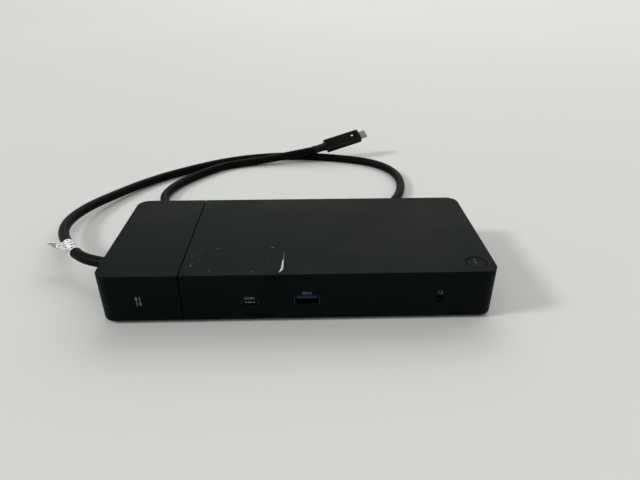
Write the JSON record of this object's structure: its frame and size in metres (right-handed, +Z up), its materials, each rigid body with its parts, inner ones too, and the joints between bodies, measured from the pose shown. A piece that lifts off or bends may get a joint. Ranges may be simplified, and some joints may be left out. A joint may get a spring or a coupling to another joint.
{
  "type": "laptop docking station",
  "caption": "low black slab with sockets front and back, a round power button on top, a screwed-on cable module at one end and a host cable ending in a plug",
  "frame": {"origin": "on the table, under the middle of the housing without its cable", "axes": "+X runs left to right along the front, +Y from front to back, +Z up"},
  "size_m": [0.2629, 0.2565, 0.029],
  "materials": {
    "housing_plastic": "fine matte texture",
    "base_plastic": "matte",
    "button_plastic": "satin",
    "foot_rubber": "matte",
    "steel": "plain",
    "socket_steel": "bright nickel",
    "socket_plastic": "moulded",
    "blue_plastic": "moulded",
    "contact_gold": "gold plated",
    "circuit_board": "solder mask",
    "chip_package": "moulded",
    "thermal_pad": "soft",
    "spreader_aluminium": "extruded",
    "copper_winding": "enamelled",
    "fan_plastic": "moulded",
    "cable_jacket": "soft sheen",
    "wire_insulation": "coloured",
    "plug_plastic": "satin",
    "light_window": "translucent",
    "tag_paper": "printed paper"
  },
  "bodies": {
    "housing": {"top_cover": "housing_plastic", "base_cover": "base_plastic", "main_feet": "foot_rubber", "module_cover": "housing_plastic", "module_base": "base_plastic", "module_feet": "foot_rubber", "coupling_plates": "steel", "coupling_screws": "steel", "base_screws": "steel", "module_screws": "steel", "switch_body": "socket_plastic", "main_board": "circuit_board", "board_screws": "steel", "main_chips": "chip_package", "thermal_pads": "thermal_pad", "heat_spreader": "spreader_aluminium", "shield_can": "steel", "fan_housing": "fan_plastic", "fan_stator": "copper_winding", "fan_lid": "steel", "front_c_shell": "socket_steel", "front_c_tongue": "socket_plastic", "front_a_shell": "socket_steel", "front_a_tongue": "blue_plastic", "headset_jack": "socket_plastic", "power_socket": "socket_plastic", "power_pin": "socket_steel", "network_shield": "socket_steel", "network_insert": "socket_plastic", "network_contacts": "contact_gold", "rear_a_shell": "socket_steel", "rear_a_tongues": "blue_plastic", "rear_c_shell": "socket_steel", "rear_c_tongue": "socket_plastic", "video_shell": "socket_steel", "video_tongue": "socket_plastic", "monitor_shells": "socket_steel", "monitor_tongues": "socket_plastic", "module_board": "circuit_board", "module_chip": "chip_package", "module_shield": "steel", "link_plug": "socket_plastic", "link_socket": "socket_plastic", "module_c_shell": "socket_steel", "module_c_tongue": "socket_plastic", "lock_plate": "steel", "cable_relief": "cable_jacket", "cable_tail": "cable_jacket", "cable_wires": "wire_insulation", "cable_clamp": "steel", "dock_cable": "cable_jacket", "cable_tag": "tag_paper", "plug_neck": "plug_plastic", "plug_body": "plug_plastic", "plug_shell": "socket_steel", "plug_light": "light_window"},
    "button": {"power_button": "button_plastic", "switch_plunger": "foot_rubber"},
    "fan": {"fan_impeller": "fan_plastic"}
  },
  "joints": [
    {"name": "button_press", "type": "slide", "parent": "housing", "child": "button", "axis": [0, 0, -1], "range_m": [0, 0.0007], "stiffness_N_per_m": 1500, "springref_m": -0.0004},
    {"name": "fan_spin", "type": "hinge", "parent": "housing", "child": "fan", "pos_m": [0.07, -0.004, 0.015], "axis": [0, 0, 1], "continuous": true}
  ]
}
